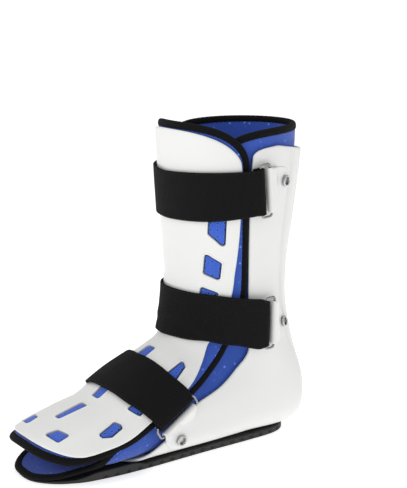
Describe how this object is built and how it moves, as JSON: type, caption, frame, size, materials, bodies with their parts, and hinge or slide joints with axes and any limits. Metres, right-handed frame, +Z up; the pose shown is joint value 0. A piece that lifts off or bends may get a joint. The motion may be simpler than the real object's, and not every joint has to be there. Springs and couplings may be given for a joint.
{
  "type": "walking boot",
  "caption": "Short rigid walking boot: white back and front shells over padded blue liners, three black ringed straps and an open toe.",
  "frame": {"origin": "on the flat underside of the sole, below the axis of the leg", "axes": "+Z up the leg, -Y towards the toes, +X towards the wearer's left; the boot is the same left and right of X = 0"},
  "size_m": [0.127, 0.2758, 0.2806],
  "materials": {
    "moulded_shell": "satin white moulded plastic",
    "moulded_tab": "satin white plastic strip",
    "blue_lining": "royal blue knit over foam, with rows of pinholes",
    "edge_binding": "black stretch binding tape",
    "black_webbing": "black hook and loop strap, loop side out",
    "rubber_sole": "dark moulded rubber",
    "bright_steel": "polished plated steel"
  },
  "bodies": {
    "root": {"ankle_ring_left": "bright_steel", "ankle_ring_right": "bright_steel", "ankle_rivet_left": "bright_steel", "ankle_rivet_right": "bright_steel", "ankle_strap": "black_webbing", "ankle_tab_left": "moulded_tab", "ankle_tab_right": "moulded_tab", "back_binding": "edge_binding", "back_liner": "blue_lining", "back_shell": "moulded_shell", "forefoot_ring_left": "bright_steel", "forefoot_ring_right": "bright_steel", "forefoot_rivet_left": "bright_steel", "forefoot_rivet_right": "bright_steel", "forefoot_strap": "black_webbing", "forefoot_tab_left": "moulded_tab", "forefoot_tab_right": "moulded_tab", "front_binding": "edge_binding", "front_liner": "blue_lining", "front_shell": "moulded_shell", "sole": "rubber_sole", "upper_ring_left": "bright_steel", "upper_ring_right": "bright_steel", "upper_rivet_left": "bright_steel", "upper_rivet_right": "bright_steel", "upper_strap": "black_webbing", "upper_tab_left": "moulded_tab", "upper_tab_right": "moulded_tab"}
  },
  "joints": []
}
